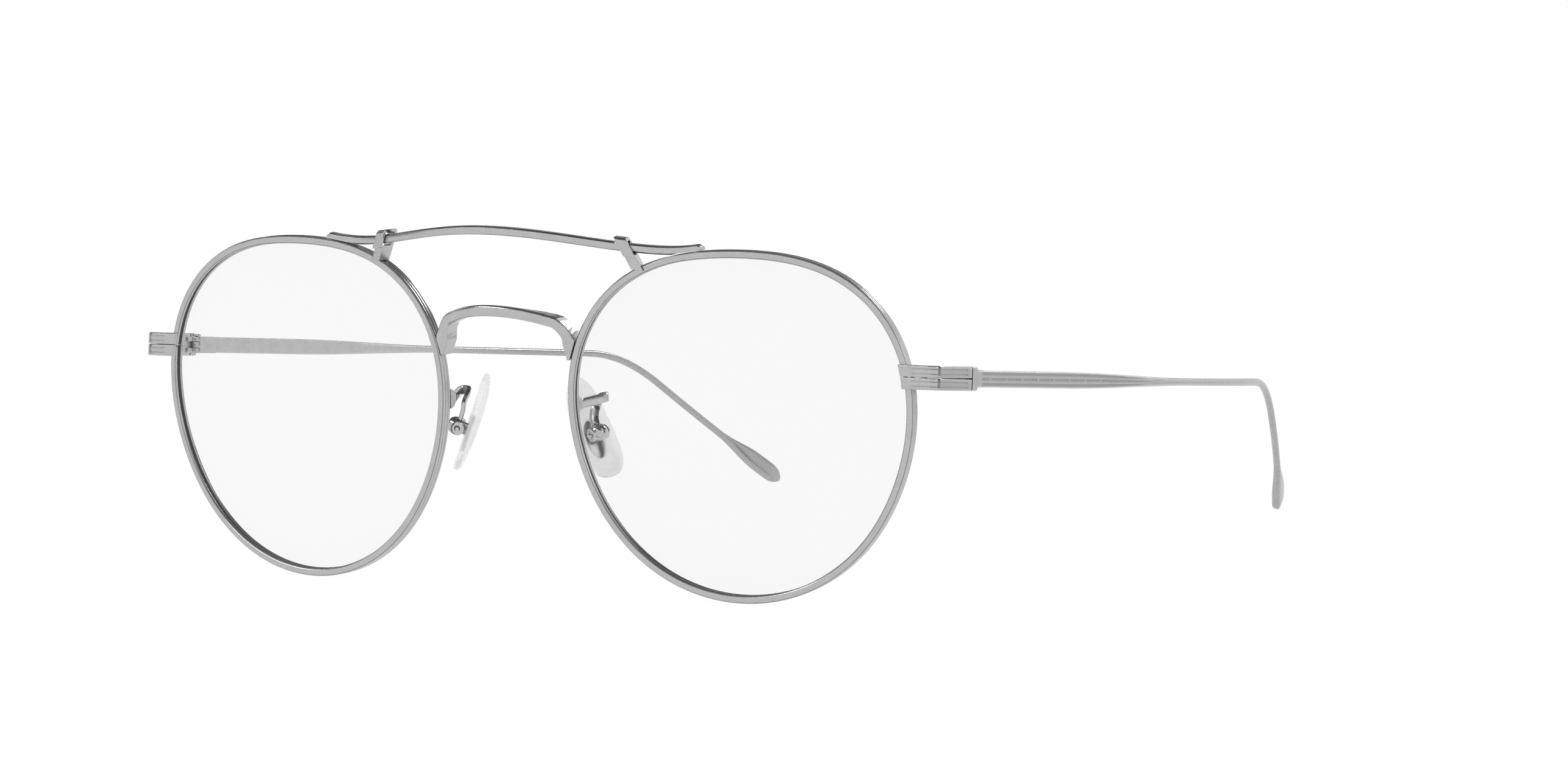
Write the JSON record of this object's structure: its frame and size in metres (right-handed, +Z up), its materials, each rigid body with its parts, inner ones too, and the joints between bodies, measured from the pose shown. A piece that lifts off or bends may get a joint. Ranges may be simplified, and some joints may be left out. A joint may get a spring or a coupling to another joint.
{
  "type": "round metal spectacles",
  "caption": "Round wire spectacles in satin silver with a brow bar over a saddle bridge, clear lenses, rocking nose pads and folding temples that end in flat paddles.",
  "frame": {"origin": "middle of the bounding box at the level the rims and temple tips stand on", "axes": "+Z up, +Y from the front towards the temple tips, +X to the wearer's left"},
  "size_m": [0.132, 0.156, 0.0516],
  "materials": {
    "satin_silver": "satin, fine grain along the wire",
    "polished_silver": "polished",
    "clear_lens": "clear, coated",
    "milky_silicone": "translucent, smooth"
  },
  "bodies": {
    "front": {"bridge": "satin_silver", "brow_bar": "satin_silver", "left_rim": "satin_silver", "left_lens": "clear_lens", "left_brow_clip": "satin_silver", "left_pad_arm": "polished_silver", "left_endpiece_upper": "satin_silver", "left_endpiece_lower": "satin_silver", "left_closing_screw": "polished_silver", "left_front_hinge": "satin_silver", "left_hinge_screw": "polished_silver", "left_pad_box": "polished_silver", "left_pad_screw": "polished_silver", "right_rim": "satin_silver", "right_lens": "clear_lens", "right_brow_clip": "satin_silver", "right_pad_arm": "polished_silver", "right_endpiece_upper": "satin_silver", "right_endpiece_lower": "satin_silver", "right_closing_screw": "polished_silver", "right_front_hinge": "satin_silver", "right_hinge_screw": "polished_silver", "right_pad_box": "polished_silver", "right_pad_screw": "polished_silver"},
    "left_temple": {"left_temple": "satin_silver", "left_temple_hinge": "satin_silver"},
    "left_pad": {"left_nose_pad": "milky_silicone", "left_pad_lug": "polished_silver"},
    "right_temple": {"right_temple": "satin_silver", "right_temple_hinge": "satin_silver"},
    "right_pad": {"right_nose_pad": "milky_silicone", "right_pad_lug": "polished_silver"}
  },
  "joints": [
    {"name": "left_temple_fold", "type": "hinge", "parent": "front", "child": "left_temple", "pos_m": [0.06386, -0.0572, 0.03138], "axis": [0, 0.0829, 0.9966], "range_deg": [0, 86]},
    {"name": "right_temple_fold", "type": "hinge", "parent": "front", "child": "right_temple", "pos_m": [-0.06386, -0.0572, 0.03138], "axis": [0, -0.0829, -0.9966], "range_deg": [0, 82]},
    {"name": "left_pad_rock", "type": "hinge", "parent": "front", "child": "left_pad", "pos_m": [0.01168, -0.06679, 0.02244], "axis": [0.4165, 0.8838, 0.2131], "range_deg": [-6, 6]},
    {"name": "right_pad_rock", "type": "hinge", "parent": "front", "child": "right_pad", "pos_m": [-0.01168, -0.06679, 0.02244], "axis": [-0.4165, 0.8838, 0.2131], "range_deg": [-6, 6]}
  ]
}
